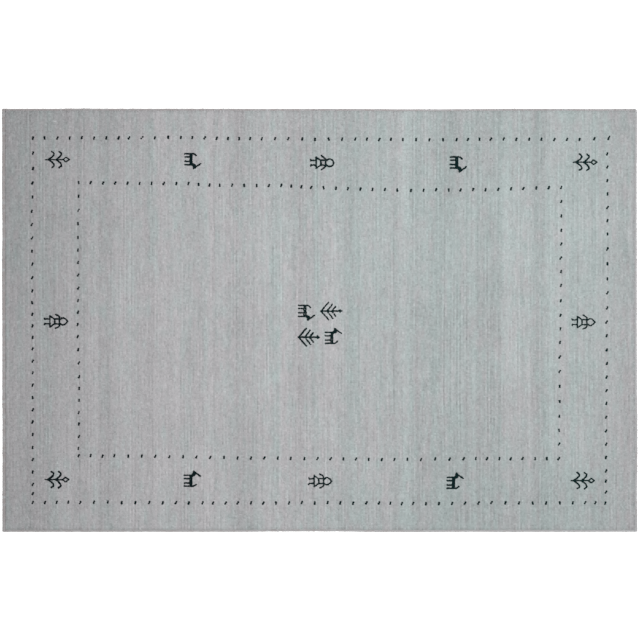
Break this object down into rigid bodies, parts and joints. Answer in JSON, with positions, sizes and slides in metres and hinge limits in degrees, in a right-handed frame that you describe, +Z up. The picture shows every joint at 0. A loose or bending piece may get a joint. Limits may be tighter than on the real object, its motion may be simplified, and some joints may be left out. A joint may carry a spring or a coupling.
{
  "type": "gabbeh rug",
  "caption": "Flat rectangular knotted wool rug with a short cut pile, overcast edges and small woven figures inside two dotted frames.",
  "frame": {"origin": "middle of the rug's box on its underside, at the floor", "axes": "+X along the length, with the warps, +Y across the width, along the knot rows, +Z up through the pile"},
  "size_m": [1.8, 1.1999, 0.012],
  "materials": {
    "field_wool": "matt cut wool pile",
    "binding_wool": "matt plied wool yarn, overcast"
  },
  "bodies": {
    "root": {"pile_field": "field_wool", "end_binding_left": "binding_wool", "end_binding_right": "binding_wool", "side_binding_far": "binding_wool", "side_binding_near": "binding_wool"}
  },
  "joints": []
}
